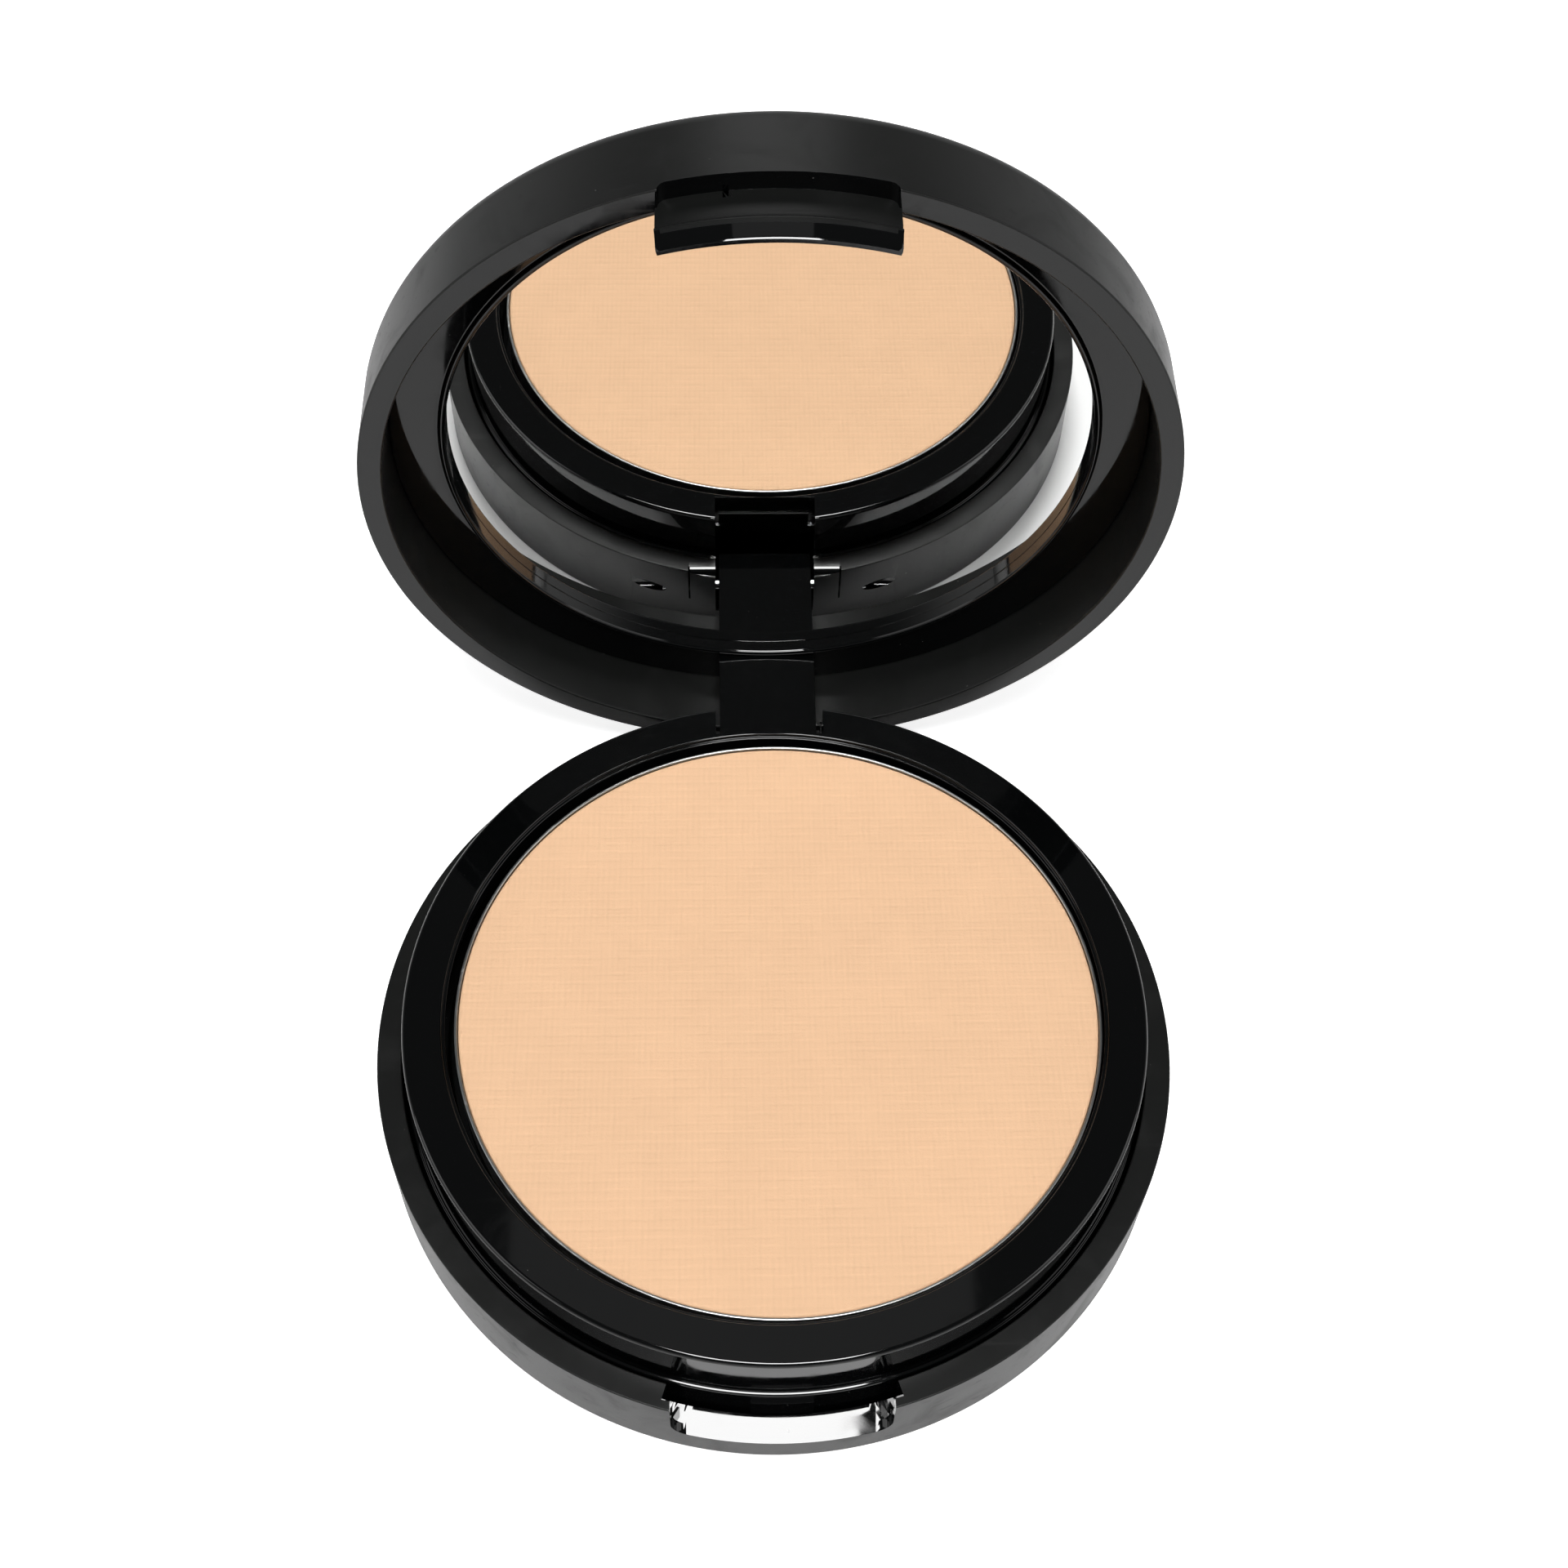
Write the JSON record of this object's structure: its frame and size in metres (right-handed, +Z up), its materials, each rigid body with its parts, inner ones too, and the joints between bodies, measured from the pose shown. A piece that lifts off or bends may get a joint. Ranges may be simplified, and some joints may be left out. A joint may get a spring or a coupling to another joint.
{
  "type": "powder compact",
  "caption": "Round cosmetic compact with a hinged lid that holds a mirror, over a base with a pan of pressed powder and a finger notch at the front.",
  "frame": {"origin": "centre of the base's flat underside", "axes": "+Z up out of the base, +Y towards the hinge, -Y towards the finger notch, +X to the viewer's right"},
  "size_m": [0.075, 0.0848, 0.0771],
  "materials": {
    "shell_black": "glossy moulded black",
    "gloss_black": "polished black",
    "clear_glue": "dried glue, pale",
    "pan_tin": "drawn sheet, satin",
    "pressed_powder": "pressed powder with a fine cloth emboss, fully matte",
    "pin_steel": "drawn wire",
    "silvered_glass": "silvered",
    "foam_tape": "double-sided tape"
  },
  "bodies": {
    "base": {"base_casing": "shell_black", "pan_carrier": "gloss_black", "pan_adhesive": "clear_glue", "powder_pan": "pan_tin", "powder_cake": "pressed_powder", "hinge_pin_left": "pin_steel", "hinge_pin_right": "pin_steel"},
    "lid": {"lid_cover": "shell_black", "mirror_frame": "gloss_black", "mirror_glass": "silvered_glass", "mirror_tape": "foam_tape"}
  },
  "joints": [
    {"name": "lid_hinge", "type": "hinge", "parent": "base", "child": "lid", "pos_m": [0, 0.0345, 0.005], "axis": [-1, 0, 0], "range_deg": [-89.5, 0]}
  ]
}
